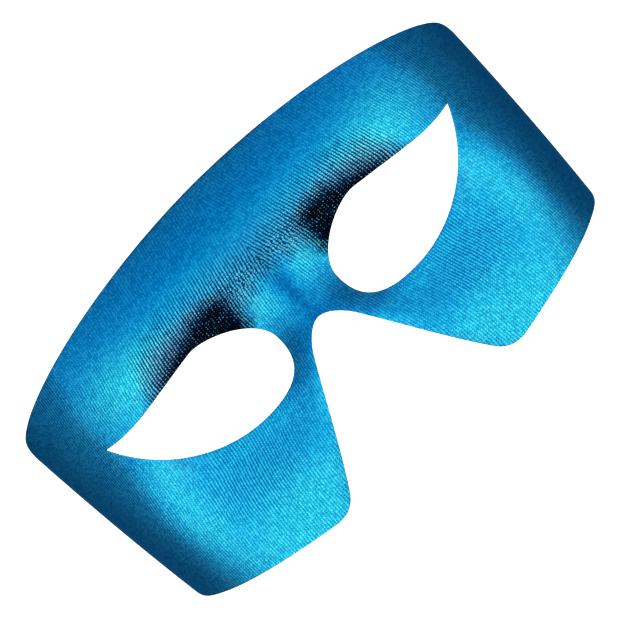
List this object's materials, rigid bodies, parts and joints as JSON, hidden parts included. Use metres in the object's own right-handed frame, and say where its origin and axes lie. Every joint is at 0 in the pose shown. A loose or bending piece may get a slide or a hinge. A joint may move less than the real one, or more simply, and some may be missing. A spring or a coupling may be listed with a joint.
{
  "type": "masquerade half mask",
  "caption": "Moulded half mask with cat-eye holes and a nose notch, faced with metallic blue rib-knit cloth, lying face up on its temple edges.",
  "frame": {"origin": "centre of the footprint, on the surface that the two straight temple edges stand on", "axes": "+Z out of the front of the mask, which lies face up; +Y towards the top edge; +X towards the temple on the right-hand side of the picture when the mask is seen upright from the front"},
  "size_m": [0.1678, 0.0934, 0.0612],
  "materials": {
    "metallic_cloth": "metallic foil on a fine rib knit, bright blue to cyan, the ribs drawn apart over a dark ground where the cloth is stretched",
    "shell_plastic": "thin thermoformed sheet, off-white and satin, with plain die-cut edges"
  },
  "bodies": {
    "root": {"moulded_shell": "shell_plastic", "metallic_cloth_face": "metallic_cloth"}
  },
  "joints": []
}
